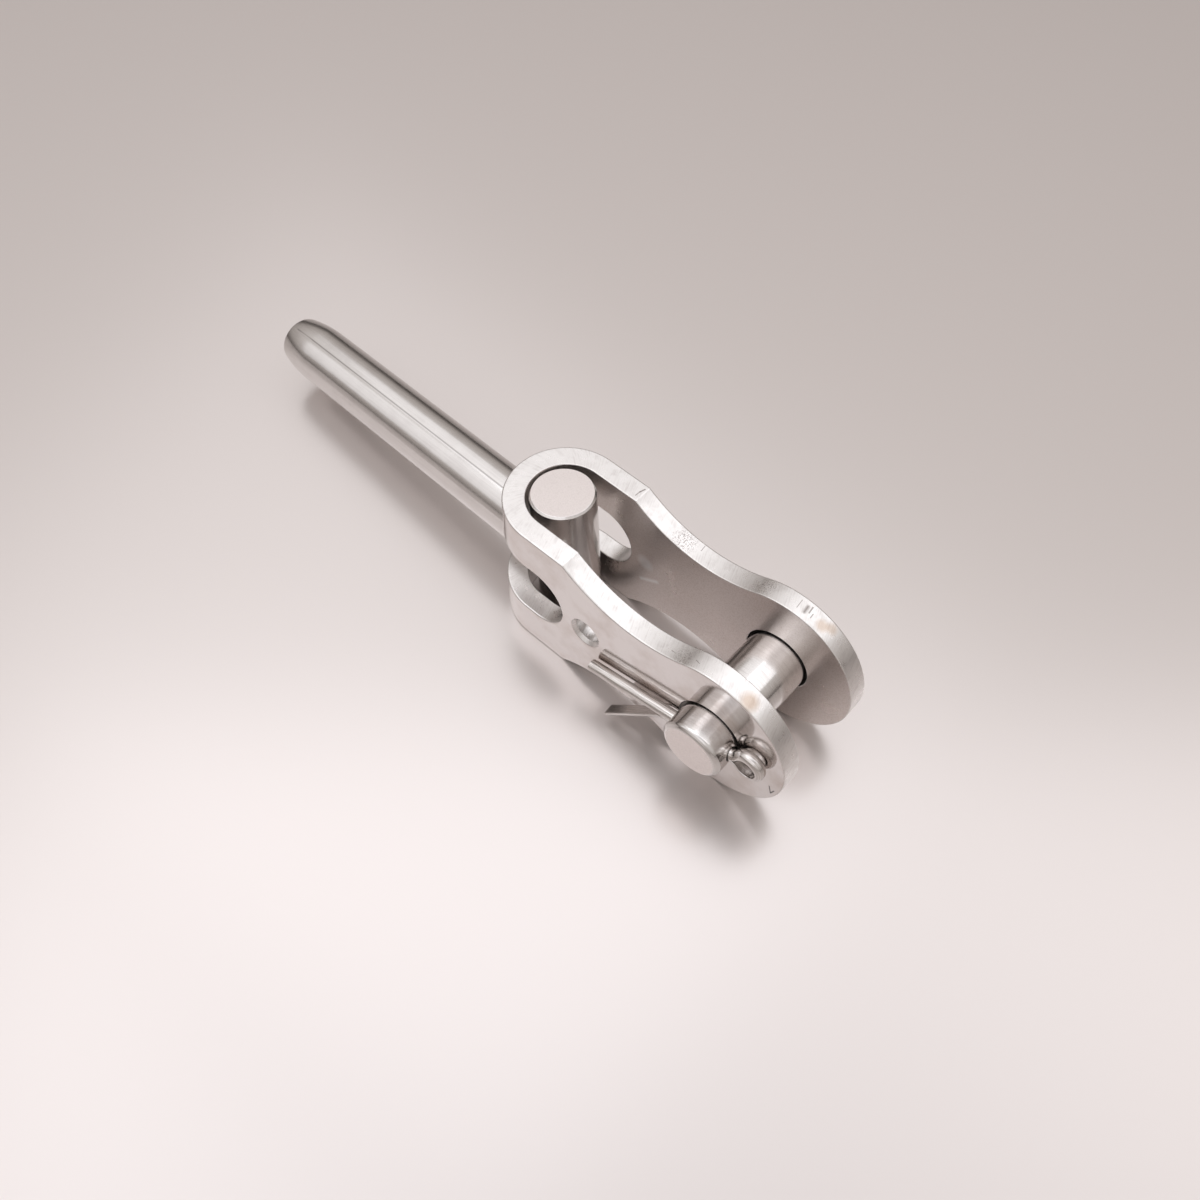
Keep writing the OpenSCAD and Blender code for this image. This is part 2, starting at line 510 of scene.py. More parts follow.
@dataclass
class FlatLoop:
    """One closed rim of the strap's flat pattern, walked with the metal on the left.

    Attributes:
        points: Rows of position along the strip and height, in millimetres.
        normals: Unit rows that point away from the metal, in the same plane.
        inner: Rounding of the edge at the inner face.
        outer: Rounding of the edge at the outer face.
        sink: Depth of a countersink at the outer face, or 0.
        ease: Width of the bands that ease the countersink's two edges.
    """

    points: np.ndarray
    normals: np.ndarray
    inner: float
    outer: float
    sink: float = 0.0
    ease: float = 0.12

    def stations(self, thickness: float, steps: int = 5) -> list[Place]:
        """Section of the rim from the inner face to the outer face.

        Args:
            thickness: Thickness of the strap.
            steps: Bits in each rounding.

        Returns:
            Inset into the metal, height above the inner face and angle of the normal, for each ring.
        """
        made: list[Place] = []
        for k in range(steps + 1):
            a = math.radians(90 * k / steps - 90)
            made.append((self.inner * (1 - math.cos(a)), self.inner * (1 + math.sin(a)), a))
        if self.sink:
            low, slope, lead = thickness - self.sink, math.radians(45), 0.3 * self.ease
            made.append((0.0, low - self.ease, 0.0))
            made.append((lead, low + lead, slope))
            made.append((self.sink - self.ease, thickness - self.ease, slope))
            made.append((self.sink + self.ease, thickness, math.pi / 2))
            return made
        for k in range(steps + 1):
            a = math.radians(90 * k / steps)
            made.append((self.outer * (1 - math.cos(a)), thickness - self.outer * (1 - math.sin(a)), a))
        return made


@dataclass
class SheetRows:
    """Rows of the strap's mesh while it is being made.

    Attributes:
        points: Rings of points.
        normals: Rings of normals, one for each point.
        faces: Vertex numbers of each face.
        zones: Material slot of each face.
        runs: Way along its rim and height above the inner face, for each corner of each face.
        rims: First vertex and flat points of each rim, on the inner and on the outer face.
    """

    points: list[np.ndarray] = field(default_factory=list)
    normals: list[np.ndarray] = field(default_factory=list)
    faces: Faces = field(default_factory=list)
    zones: list[int] = field(default_factory=list)
    runs: Profile = field(default_factory=list)
    rims: dict[StrapZone, list[tuple[int, np.ndarray]]] = field(
        default_factory=lambda: {StrapZone.INNER: [], StrapZone.OUTER: []}
    )

    def add(self, face: tuple[int, ...], zone: StrapZone, runs: Profile) -> None:
        """Add one face.

        Args:
            face: Its vertex numbers.
            zone: Its surface.
            runs: Way and height of each of its corners.
        """
        self.faces.append(face)
        self.zones.append(zone.value)
        self.runs.extend(runs)


def arc_rows(center: tuple[float, float], radius: float, start: float, stop: float, steps: int) -> np.ndarray:
    """Points along an arc.

    Args:
        center: Middle of the arc.
        radius: Its radius.
        start: First angle, in degrees.
        stop: Last angle, in degrees.
        steps: Bits in the arc.

    Returns:
        Rows of x, y and the outward unit x, y, one more than there are bits.
    """
    a = np.radians(np.linspace(start, stop, steps + 1))
    out = np.stack([np.cos(a), np.sin(a)], axis=1)
    return np.hstack([np.array(center) + radius * out, out])


@dataclass
class ToggleStrap:
    """The folded strap with its ears, slot, pin holes and small countersunk hole."""

    thickness: float = 5.4
    half_width: float = 20.5
    jaw_half: float = 9.8
    reach: float = 57.0
    ear_r: float = 20.5
    ear_steps: int = 44
    shoulder_x: float = 44.6
    shoulder_round: float = 0.6
    shoulder_steps: int = 6
    neck_r: float = 34.0
    neck_steps: int = 28
    slot_r: float = 8.7
    slot_back: float = 12.2
    slot_steps: int = 36
    pin_hole_r: float = 8.5
    pin_hole_steps: int = 72
    eyelet_r: float = 3.5
    eyelet_x: float = 37.4
    eyelet_sink: float = 0.9
    eyelet_steps: int = 48
    rim_inner: float = 0.22
    rim_outer: float = 0.4
    slot_inner: float = 0.3
    slot_outer: float = 0.45
    hole_inner: float = 0.25
    hole_outer: float = 0.3
    fold_step: float = 3.0
    # Parts of a rounding that lean further out than this were buffed with the outer face.
    buffed_angle: float = 50.0
    finishes: dict[StrapZone, SteelFinish] = field(default_factory=dict)

    @property
    def mid_r(self) -> float:
        """Radius of the fold at the middle of the metal."""
        return self.jaw_half + self.thickness / 2

    @property
    def quarter(self) -> float:
        """Length of a quarter turn of the fold at the middle of the metal."""
        return self.mid_r * math.pi / 2

    def along(self, x: float) -> float:
        """Position along the near half of the strip for a distance from the pin's axis."""
        return self.quarter + self.reach - x

    def fold_rows(self) -> np.ndarray:
        """Positions along the strip at which the fold is divided."""
        count = round(180 / self.fold_step)
        return np.linspace(-self.quarter, self.quarter, count + 1)

    def half_outline(self) -> np.ndarray:
        """Upper near quarter of the rim, from the fold to the tip of the ear.

        Returns:
            Rows of x, z and the unit x, z that point away from the metal.
        """
        corner = math.hypot(self.shoulder_x, self.half_width)
        far = self.ear_r + self.neck_r
        lift = math.acos((corner**2 + far**2 - self.neck_r**2) / (2 * corner * far))
        touch = math.degrees(math.atan2(self.half_width, self.shoulder_x) + lift)
        hollow = (far * math.cos(math.radians(touch)), far * math.sin(math.radians(touch)))
        drop = self.half_width - self.shoulder_round - hollow[1]
        ease_x = hollow[0] + math.sqrt((self.neck_r + self.shoulder_round) ** 2 - drop**2)
        ease = (ease_x, self.half_width - self.shoulder_round)
        lean = math.degrees(math.atan2(ease[1] - hollow[1], ease[0] - hollow[0]))
        shoulder = arc_rows(ease, self.shoulder_round, 90, lean + 180, self.shoulder_steps)
        neck = arc_rows(hollow, self.neck_r, lean, touch - 180, self.neck_steps)
        neck[:, 2:] *= -1
        ear = arc_rows((0, 0), self.ear_r, touch, 180, self.ear_steps)
        return np.vstack([shoulder, neck[1:], ear[1:]])

    def band(self, height: float, way: int) -> np.ndarray:
        """Straight edge along the fold.

        Args:
            height: Height of the edge.
            way: 1 where the metal lies below it, or -1 where it lies above.

        Returns:
            Rows of position, height and normal.
        """
        fold = self.fold_rows()
        return np.stack([fold, np.full(len(fold), height), 0 * fold, 0 * fold + way], axis=1)

    def rim(self) -> FlatLoop:
        """Outer rim of the whole flat pattern.

        Returns:
            The rim, walked with the metal on the left.
        """
        upper = self.half_outline()
        along = [self.along(x) for x in upper[:, 0]]
        near = np.stack([along, upper[:, 1], -upper[:, 2], upper[:, 3]], axis=1)
        far = near * FLIP_U
        top = self.band(self.half_width, 1)
        upper_rows = [near[::-1][:-1], top[::-1], far]
        lower_rows = [(far * FLIP_Z)[::-1][1:], top * FLIP_Z, (near * FLIP_Z)[:-1]]
        rows = np.vstack(upper_rows + lower_rows)
        return FlatLoop(rows[:, :2], rows[:, 2:], self.rim_inner, self.rim_outer)

    def slot(self) -> FlatLoop:
        """Rim of the slot that runs round the fold into both arms.

        Returns:
            The rim, walked with the metal on the left.
        """
        end = self.along(self.reach - self.slot_back + self.slot_r)
        top = self.band(self.slot_r, -1)
        near = arc_rows((end, 0), self.slot_r, 90, -90, self.slot_steps)
        near[:, 2:] *= -1
        rows = np.vstack([top, near, (top * FLIP_Z)[::-1], near[::-1] * FLIP_U])
        return FlatLoop(rows[:, :2], rows[:, 2:], self.slot_inner, self.slot_outer)

    def hole(self, u: float, radius: float, steps: int, sink: float = 0.0) -> FlatLoop:
        """Rim of a round hole.

        Args:
            u: Position along the strip.
            radius: Radius of the hole.
            steps: Bits round it.
            sink: Depth of its countersink.

        Returns:
            The rim, walked with the metal on the left.
        """
        rows = arc_rows((u, 0), radius, 0, -360, steps)[:-1]
        return FlatLoop(rows[:, :2], -rows[:, 2:], self.hole_inner, self.hole_outer, sink)

    def folded(self, flat: np.ndarray, height: float) -> tuple[np.ndarray, np.ndarray, np.ndarray]:
        """Bend points of the flat pattern round the fold.

        Args:
            flat: Rows of position along the strip and height across it.
            height: Height of the points above the inner face.

        Returns:
            Points, directions along the strip and directions out of the outer face.
        """
        u, z = flat[:, 0], flat[:, 1]
        turn = np.clip(u / self.mid_r, -math.pi / 2, math.pi / 2)
        past = u - turn * self.mid_r
        zero = np.zeros(len(u))
        out = np.stack([np.cos(turn), np.sin(turn), zero], axis=1)
        run = np.stack([-np.sin(turn), np.cos(turn), zero], axis=1)
        base = np.stack([zero + self.reach, zero, z], axis=1)
        return base + (self.jaw_half + height) * out + past[:, None] * run, run, out

    def wall(self, loop: FlatLoop, rows: SheetRows) -> None:
        """Add the wall along one rim, from the inner face to the outer face.

        Args:
            loop: The rim.
            rows: The mesh that takes the wall.
        """
        count = len(loop.points)
        first = sum(len(ring) for ring in rows.points)
        step = np.linalg.norm(np.roll(loop.points, -1, axis=0) - loop.points, axis=1)
        run_at = np.concatenate([[0.0], np.cumsum(step)])
        stations = loop.stations(self.thickness)
        starts = [first + count * s for s in range(len(stations))]
        flats = [loop.points - inset * loop.normals for inset, _, _ in stations]
        for flat, (_, height, angle) in zip(flats, stations):
            place, run, out = self.folded(flat, height)
            side = loop.normals[:, :1] * run + loop.normals[:, 1:] * np.array([0.0, 0.0, 1.0])
            rows.points.append(place)
            rows.normals.append(math.cos(angle) * side + math.sin(angle) * out)
        for s in range(len(stations) - 1):
            low, high = starts[s], starts[s + 1]
            a, b = stations[s][1], stations[s + 1][1]
            lean = (stations[s][2] + stations[s + 1][2]) / 2
            zone = StrapZone.CUT if lean < math.radians(self.buffed_angle) else StrapZone.OUTER
            for k in range(count):
                n = (k + 1) % count
                here, there = run_at[k], run_at[k + 1]
                corners = [(here, a), (there, a), (there, b), (here, b)]
                rows.add((low + k, low + n, high + n, high + k), zone, corners)
        rows.rims[StrapZone.INNER].append((starts[0], flats[0]))
        rows.rims[StrapZone.OUTER].append((starts[-1], flats[-1]))

    def rungs(self, rim: np.ndarray, slot: np.ndarray) -> list[tuple[int, int]]:
        """Edges across both bands of the fold, so that its faces follow the bend.

        Args:
            rim: Points of the outer rim, which a fill numbers first.
            slot: Points of the slot's rim, which come next.

        Returns:
            Pairs of local vertex numbers.
        """
        made: list[tuple[int, int]] = []
        for u in self.fold_rows():
            for sign in (1, -1):
                on_rim = np.argmin(np.hypot(rim[:, 0] - u, rim[:, 1] - sign * self.half_width))
                on_slot = np.argmin(np.hypot(slot[:, 0] - u, slot[:, 1] - sign * self.slot_r))
                made.append((int(on_rim), len(rim) + int(on_slot)))
        return made

    @staticmethod
    def on_metal(point: np.ndarray, rings: list[np.ndarray]) -> bool:
        """Whether a point of the flat pattern lies on metal.

        Args:
            point: Position along the strip and height.
            rings: Points of each rim.

        Returns:
            True inside the outer rim and outside the others.
        """
        crossings = 0
        for ring in rings:
            after = np.roll(ring, -1, axis=0)
            spans = (ring[:, 1] > point[1]) != (after[:, 1] > point[1])
            rise = np.where(spans, after[:, 1] - ring[:, 1], 1.0)
            at = ring[:, 0] + (point[1] - ring[:, 1]) / rise * (after[:, 0] - ring[:, 0])
            crossings += int(np.sum(spans & (at > point[0])))
        return crossings % 2 == 1

    def fill(self, rims: list[tuple[int, np.ndarray]], rungs: list[tuple[int, int]]) -> Faces:
        """Triangles that cover a face between its rims.

        Args:
            rims: First vertex and flat points of each rim on this face, the outer one first.
            rungs: Pairs of local numbers joined across the fold.

        Returns:
            Triangles, counter-clockwise in the flat pattern, as vertex numbers.
        """
        numbers: list[int] = []
        flat: list[Vector] = []
        edges: list[tuple[int, int]] = list(rungs)
        for start, ring in rims:
            base, count = len(flat), len(ring)
            flat.extend(Vector(p) for p in ring.tolist())
            numbers.extend(range(start, start + count))
            edges.extend((base + k, base + (k + 1) % count) for k in range(count))
        verts, _, tris, sources, _, _ = delaunay_2d_cdt(flat, edges, [], 1, 1e-6)
        made: Faces = []
        for tri in tris:
            a, b, c = (verts[k] for k in tri)
            if not self.on_metal(np.array((a + b + c) / 3), [ring for _, ring in rims]):
                continue
            order = tri if (b - a).cross(c - a) > 0 else tri[::-1]
            made.append(tuple(numbers[sources[k][0]] for k in order))
        return made

    def dress(self, piece: Piece) -> None:
        """Give each zone its finish."""
        for zone in StrapZone:
            piece.data.materials.append(self.finishes[zone].build())

    def build(self) -> Piece:
        """Make the strap: a wall along every rim, the two faces between them and three zones.

        Returns:
            The finished piece.
        """
        ear_u = self.along(0)
        loops = [
            self.rim(),
            self.slot(),
            self.hole(ear_u, self.pin_hole_r, self.pin_hole_steps),
            self.hole(-ear_u, self.pin_hole_r, self.pin_hole_steps),
            self.hole(self.along(self.eyelet_x), self.eyelet_r, self.eyelet_steps, self.eyelet_sink),
        ]
        rows = SheetRows()
        for loop in loops:
            self.wall(loop, rows)
        rungs = self.rungs(loops[0].points, loops[1].points)
        for zone, rims in rows.rims.items():
            for tri in self.fill(rims, rungs):
                rows.add(tri if zone is StrapZone.OUTER else tri[::-1], zone, [(0.0, 0.0)] * 3)
        piece = mesh_object("strap", np.vstack(rows.points), rows.faces)
        piece.data.polygons.foreach_set("material_index", rows.zones)
        layer = piece.data.uv_layers.new(name=EDGE_RUN)
        layer.data.foreach_set("uv", np.array(rows.runs).ravel())
        piece.data.normals_split_custom_set_from_vertices(np.vstack(rows.normals).tolist())
        self.dress(piece)
        return piece


@dataclass
class TurnedPiece:
    """A piece turned from bar, with a polished side and faced ends.

    Attributes:
        finishes: Finish of the side, then of the ends.
    """

    finishes: tuple[SteelFinish, ...] = ()

    def dress(self, piece: Piece, placing: Matrix, low: float, high: float) -> None:
        """Give the side and the flat ends their finishes.

        Args:
            piece: The turned piece.
            placing: Where its turning axis lies, in millimetres.
            low: Height of the lower end on that axis.
            high: Height of the upper end.
        """
        piece.data.materials.clear()
        for finish in self.finishes:
            piece.data.materials.append(finish.build())
        back = placing.inverted() @ Matrix.Scale(1 / MM, 4)
        for polygon in piece.data.polygons:
            height = (back @ polygon.center).z
            polygon.material_index = int(height < low + END_DEPTH or height > high - END_DEPTH)


@dataclass
class SwageTerminal(TurnedPiece):
    """The T-shaped terminal: a cross bar and a shank with a bore for the wire."""

    bar_r: float = 8.0
    bar_half: float = 19.75
    bar_bevel: float = 0.5
    bevel_round: float = 0.12
    shank_r: float = 8.1
    shank_l: float = 111.0
    nose_l: float = 11.0
    nose_r: float = 6.8
    nose_round: float = 0.35
    nose_steps: int = 12
    bore_r: float = 4.2
    bore_l: float = 85.0
    mouth: float = 0.6
    reach: float = 57.0
    lift: float = 0.984
    swing: float = -3.5
    droop: float = 4.5

    def placing(self) -> Matrix:
        """Where the terminal lies, in millimetres."""
        return Matrix.Translation((self.reach, 0, self.lift)) @ spun(self.swing, "Z") @ spun(self.droop, "Y")

    def bar_section(self) -> Profile:
        """Half section of the cross bar, bevelled at both ends.

        Returns:
            Radius and height pairs.
        """
        rim, end = self.bar_r - self.bar_bevel, self.bar_half - self.bar_bevel
        upper = [(self.bar_r, end), (rim, self.bar_half), (0.0, self.bar_half)]
        lower = [(radius, -height) for radius, height in reversed(upper)]
        return rounded(lower + upper, {k: self.bevel_round for k in range(1, 5)}, 3)

    def shank_section(self) -> Profile:
        """Half section of the shank with its drawn-in nose and the wire's bore.

        Returns:
            Radius and height pairs.
        """
        drop = self.shank_r - self.nose_r
        sweep = (self.nose_l**2 + drop**2) / (2 * drop)
        nose: Profile = []
        for k in range(self.nose_steps + 1):
            run = self.nose_l * k / self.nose_steps
            radius = self.shank_r - sweep + math.sqrt(sweep**2 - run**2)
            nose.append((radius, self.shank_l - self.nose_l + run))
        mouth = [(self.bore_r + self.mouth, self.shank_l), (self.bore_r, self.shank_l - self.mouth)]
        floor = self.shank_l - self.bore_l
        bore = [(self.bore_r, floor), (0.0, floor - self.bore_r / 2)]
        corners = [(0.0, 0.0), (self.shank_r, 0.0), *nose, *mouth, *bore]
        return rounded(corners, {1 + len(nose): self.nose_round})

    def build(self) -> Piece:
        """Make the terminal as one solid.

        Returns:
            The finished piece.
        """
        piece = lathe("terminal", self.bar_section(), self.placing())
        shank = lathe("shank", self.shank_section(), self.placing() @ spun(90, "Y"))
        cut_or_join(piece, shank, "UNION")
        soft_edges(piece)
        self.dress(piece, self.placing(), -self.bar_half, self.bar_half)
        return piece


@dataclass
class ClevisPin(TurnedPiece):
    """The clevis pin with its flat head, bevelled tail and the cross hole for the cotter."""

    radius: float = 7.9
    head_y: float = -15.55
    tail_y: float = 22.4
    tail_bevel: float = 0.9
    tail_round: float = 1.0
    head_r: float = 10.5
    head_t: float = 3.2
    head_round: float = 0.6
    seat_round: float = 0.2
    cross_r: float = 1.9
    cross_y: float = 17.15
    cross_steps: int = 48
    turn: float = 13.0

    def build(self) -> Piece:
        """Make the pin as one solid.

        Returns:
            The finished piece.
        """
        top = self.head_y - self.head_t
        section = [
            (0.0, top),
            (self.head_r, top),
            (self.head_r, self.head_y),
            (self.radius, self.head_y),
            (self.radius, self.tail_y - self.tail_bevel),
            (self.radius - self.tail_bevel, self.tail_y),
            (0.0, self.tail_y),
        ]
        radii = {1: self.head_round, 2: self.seat_round, 4: self.tail_round, 5: self.tail_round}
        turned = spun(self.turn, "Y")
        upright = turned @ spun(-90, "X")
        piece = lathe("pin", rounded(section, radii, 6), upright)
        across = turned @ Matrix.Translation((0, self.cross_y, 0)) @ spun(90, "Y")
        past = self.radius + 1
        rod = [(0.0, -past), (self.cross_r, -past), (self.cross_r, past), (0.0, past)]
        cut_or_join(piece, lathe("drill", rod, across, self.cross_steps), "DIFFERENCE")
        soft_edges(piece)
        self.dress(piece, upright, top, self.tail_y)
        return piece


@dataclass
class CotterPin:
    """The split cotter: half-round wire doubled into an eye and two spread legs."""

    wire_r: float = 1.6
    wire_step: int = 15
    flat_half: float = 0.1
    eye_r: float = 2.6
    throat_r: float = 2.4
    throat_x: float = 8.25
    long_leg: float = 34.0
    bend_x: float = 10.6
    bend_angle: float = 31.0
    bend_r: float = 4.0
    splay: float = 8.0
    splay_r: float = 12.0
    splay_steps: int = 4
    bent_l: float = 17.0
    y: float = 17.15
    turn: float = 13.0
    arc_step: float = 5.0
    corner: float = 0.18
    sharp_angle: float = 40.0
    finish: SteelFinish | None = None

    def bow(self, center: tuple[float, float], radius: float, start: float, stop: float) -> list[Vector]:
        """Points of the wire's line along an arc in the plane of the legs.

        Args:
            center: Middle of the arc.
            radius: Its radius.
            start: First angle, in degrees, which is left out.
            stop: Last angle, in degrees.

        Returns:
            Points in the plane of the legs.
        """
        steps = max(2, math.ceil(abs(stop - start) / self.arc_step))
        rows = arc_rows(center, radius, start, stop, steps)[1:]
        return [Vector((row[0], row[1], 0.0)) for row in rows]

    def line(self) -> list[Vector]:
        """Middle line of the wire's flat, from the straight tip round the eye to the bent tip.

        Returns:
            Points with the plane of the legs as x and y, and the side away from the ear as z.
        """
        span = self.eye_r + self.throat_r
        rise = self.throat_r + self.flat_half
        eye_x = self.throat_x + math.sqrt(span**2 - rise**2)
        lean = math.degrees(math.asin(rise / span))
        flat, bend = self.flat_half, self.bend_angle
        points = [Vector((self.long_leg, flat, 0)), Vector((-self.throat_x, flat, 0))]
        points += self.bow((-self.throat_x, rise), self.throat_r, 270, 180 + lean)
        points += self.bow((-eye_x, 0), self.eye_r, lean, 360 - lean)
        points += self.bow((-self.throat_x, -rise), self.throat_r, 180 - lean, 90)
        points.append(Vector((self.bend_x, -flat, 0)))
        points += self.bow((self.bend_x, -flat - self.bend_r), self.bend_r, 90, 90 - bend)
        start = points[-1]
        ahead = Vector((math.cos(math.radians(bend)), -math.sin(math.radians(bend)), 0))
        side = Vector((0, 0, 1))
        for k in range(1, self.splay_steps + 1):
            s = math.radians(self.splay * k / self.splay_steps)
            points.append(start + self.splay_r * (math.sin(s) * ahead + (1 - math.cos(s)) * side))
        tilt = math.radians(self.splay)
        points.append(points[-1] + self.bent_l * (math.cos(tilt) * ahead + math.sin(tilt) * side))
        return points

    def section(self) -> list[Vector]:
        """Half-round section of the wire with eased corners, flat on the line x = 0.

        Returns:
            Points round the section.
        """
        half: Profile = [(0.0, -self.wire_r)]
        for degrees in range(self.wire_step - 90, 90, self.wire_step):
            a = math.radians(degrees)
            half.append((self.wire_r * math.cos(a), self.wire_r * math.sin(a)))
        half.append((0.0, self.wire_r))
        corners = {1: self.corner, len(half): self.corner}
        eased = rounded([half[-1], *half, half[0]], corners, 3)[1:-1]
        return [Vector((x, y, 0)) for x, y in eased]

    def dress(self, tree: bpy.types.GeometryNodeTree, wire: Socket) -> Socket:
        """Give the swept wire its finish inside the tree.

        Args:
            tree: The tree that sweeps it.
            wire: The wire as a plain mesh.

        Returns:
            The dressed mesh.
        """
        sockets = {"Geometry": wire, "Material": self.finish.build()}
        return add_node(tree, "GeometryNodeSetMaterial", sockets).outputs["Geometry"]

    def sweep_tree(self) -> bpy.types.GeometryNodeTree:
        """Tree that sweeps a section along the wire's line.

        Returns:
            The tree, with the section and the size of a unit as named inputs.
        """
        tree = bpy.data.node_groups.new("cotter_wire_sweep", "GeometryNodeTree")
        for name, kind in (("Geometry", "Geometry"), ("Section", "Object"), ("Unit", "Float")):
            tree.interface.new_socket(name, in_out="INPUT", socket_type="NodeSocket" + kind)
        tree.interface.new_socket("Geometry", in_out="OUTPUT", socket_type="NodeSocketGeometry")
        given = add_node(tree, "NodeGroupInput").outputs
        length = add_node(tree, "GeometryNodeSplineParameter").outputs["Length"]
        level = add_node(tree, "GeometryNodeSetCurveNormal", {"Curve": given["Geometry"]}, mode="Z_UP")
        shape = add_node(tree, "GeometryNodeObjectInfo", {"Object": given["Section"]})
        marked = []
        for curve, name in ((level.outputs["Curve"], WIRE_RUN), (shape.outputs["Geometry"], WIRE_ROUND)):
            kept = {"Geometry": curve, "Name": name, "Value": length}
            marked.append(add_node(tree, "GeometryNodeStoreNamedAttribute", kept).outputs["Geometry"])
        sweep = {"Curve": marked[0], "Profile Curve": marked[1], "Fill Caps": True}
        wire = add_node(tree, "GeometryNodeCurveToMesh", sweep).outputs["Mesh"]
        sized = add_node(tree, "GeometryNodeTransform", {"Geometry": wire, "Scale": given["Unit"]})
        plain = add_node(tree, "GeometryNodeRealizeInstances", {"Geometry": sized.outputs["Geometry"]})
        add_node(tree, "NodeGroupOutput", {"Geometry": self.dress(tree, plain.outputs["Geometry"])})
        return tree

    @staticmethod
    def curve(name: str, points: list[Vector], closed: bool) -> Piece:
        """Make a curve object of straight bits.

        Args:
            name: Name of the curve.
            points: Its points, in millimetres.
            closed: Whether the last point joins the first.

        Returns:
            The curve object, linked to the scene.
        """
        data = bpy.data.curves.new(name, "CURVE")
        data.dimensions = "3D"
        spline = data.splines.new("POLY")
        spline.points.add(len(points) - 1)
        for spot, point in zip(spline.points, points):
            spot.co = (*point, 1.0)
        spline.use_cyclic_u = closed
        return linked(name, data)

    def build(self) -> Piece:
        """Sweep the wire and put it through the pin.

        Returns:
            The finished piece.
        """
        section = self.curve("cotter_section", self.section(), True)
        line = self.curve("cotter_line", self.line(), False)
        tree = self.sweep_tree()
        sweep = line.modifiers.new("sweep", "NODES")
        sweep.node_group = tree
        sockets = {item.name: item.identifier for item in tree.interface.items_tree if item.in_out == "INPUT"}
        sweep[sockets["Section"]] = section
        sweep[sockets["Unit"]] = MM
        mesh = baked(line)
        mesh.name = "cotter"
        for helper in (line, section):
            bpy.data.objects.remove(helper)
        # The line's y goes to the part's z and its z to the part's y, which turns the faces inside out.
        swapped = Matrix(((1, 0, 0, 0), (0, 0, 1, 0), (0, 1, 0, 0), (0, 0, 0, 1)))
        mesh.transform(spun(self.turn, "Y") @ Matrix.Translation((0, self.y * MM, 0)) @ swapped)
        mesh.flip_normals()
        piece = linked("cotter", mesh)
        soft_edges(piece, self.sharp_angle)
        return piece


@dataclass(frozen=True)
class SoftPanel:
    """One soft panel of light over the object.

    Attributes:
        name: Name of the light.
        turn: Angle about the vertical from the part's length to the panel's width, in degrees.
        lean: Angle from straight overhead across its width, in degrees.
        shift: How far it stands off along its width.
        away: Distance from the object.
        width: Its longer side.
        height: Its shorter side.
        radiance: Brightness of its face.
    """

    name: str
    turn: float
    lean: float
    shift: float
    away: float
    width: float
    height: float
    radiance: float


